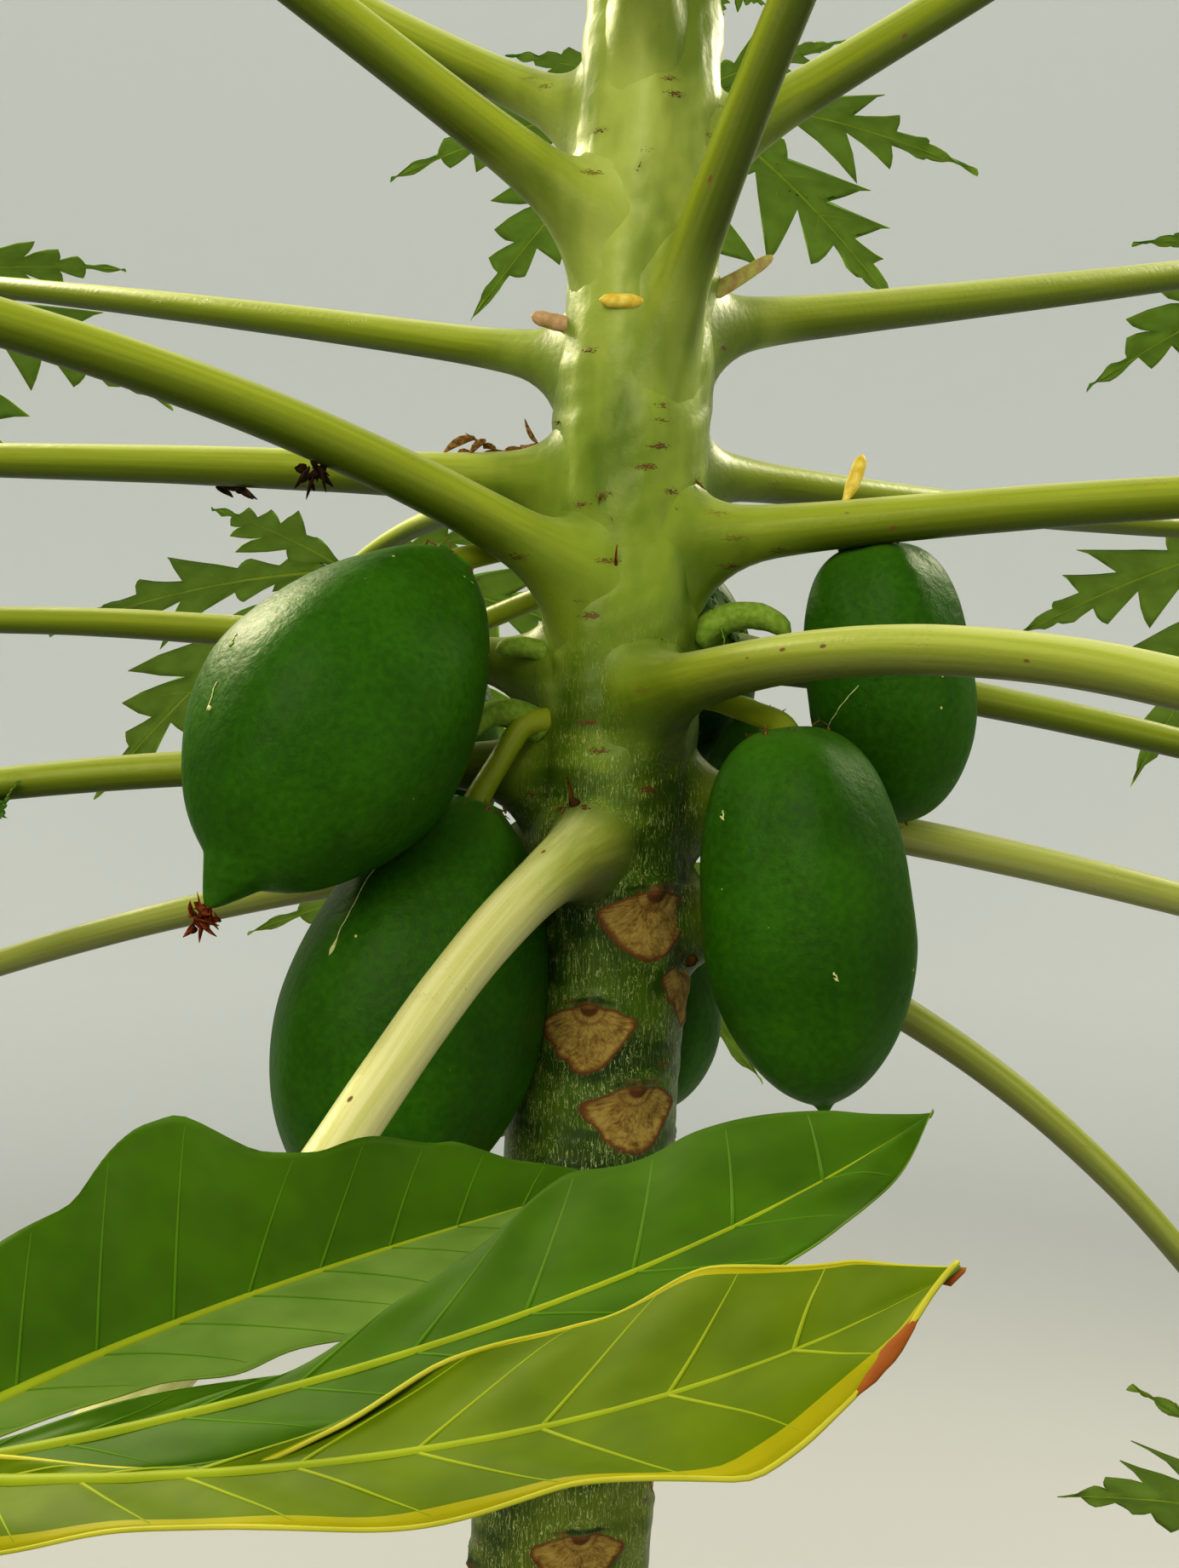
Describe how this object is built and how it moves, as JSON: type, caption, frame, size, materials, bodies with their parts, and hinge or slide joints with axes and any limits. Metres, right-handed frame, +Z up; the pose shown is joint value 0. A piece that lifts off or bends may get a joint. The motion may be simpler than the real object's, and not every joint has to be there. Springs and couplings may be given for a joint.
{
  "type": "papaya tree",
  "caption": "Young fruiting papaya tree: one leaning tapered trunk, long leaf stalks with lobed blades all round, green ribbed fruits hung close under them, rooted at a flat cut.",
  "frame": {"origin": "middle of the trunk's flat cut at ground level", "axes": "+Z up along the standing plant, +X towards the side that the trunk leans to, -Y towards the side with the largest fruits"},
  "size_m": [1.9484, 1.7722, 2.4472],
  "materials": {
    "trunk_bark": "smooth green bark",
    "leaf_stalk": "smooth satin",
    "leaf_blade": "soft waxy leaf",
    "fruit_skin": "waxy satin",
    "young_leaf": "soft waxy leaf"
  },
  "bodies": {
    "root": {"trunk": "trunk_bark", "petiole_01": "leaf_stalk", "petiole_02": "leaf_stalk", "petiole_03": "leaf_stalk", "petiole_04": "leaf_stalk", "petiole_05": "leaf_stalk", "petiole_06": "leaf_stalk", "petiole_07": "leaf_stalk", "petiole_08": "leaf_stalk", "petiole_09": "leaf_stalk", "petiole_10": "leaf_stalk", "petiole_11": "leaf_stalk", "petiole_12": "leaf_stalk", "petiole_13": "leaf_stalk", "petiole_14": "leaf_stalk", "petiole_15": "leaf_stalk", "petiole_16": "leaf_stalk", "petiole_17": "leaf_stalk", "petiole_18": "leaf_stalk", "petiole_19": "leaf_stalk", "petiole_20": "leaf_stalk", "petiole_21": "leaf_stalk", "petiole_22": "leaf_stalk", "leaf_01": "leaf_blade", "leaf_02": "leaf_blade", "leaf_03": "leaf_blade", "leaf_04": "leaf_blade", "leaf_05": "leaf_blade", "leaf_06": "leaf_blade", "leaf_07": "leaf_blade", "leaf_08": "leaf_blade", "leaf_09": "leaf_blade", "leaf_10": "leaf_blade", "leaf_11": "leaf_blade", "leaf_12": "leaf_blade", "leaf_13": "leaf_blade", "leaf_14": "leaf_blade", "leaf_15": "leaf_blade", "leaf_16": "leaf_blade", "leaf_17": "leaf_blade", "leaf_18": "leaf_blade", "leaf_19": "leaf_blade", "leaf_20": "leaf_blade", "leaf_21": "leaf_blade", "leaf_22": "leaf_blade", "fruit_01": "fruit_skin", "fruit_02": "fruit_skin", "fruit_03": "fruit_skin", "fruit_04": "fruit_skin", "fruit_05": "fruit_skin", "fruit_06": "fruit_skin", "fruit_07": "fruit_skin", "fruit_08": "fruit_skin", "fruit_09": "fruit_skin", "fruit_10": "fruit_skin", "crown_tuft": "young_leaf"}
  },
  "joints": []
}
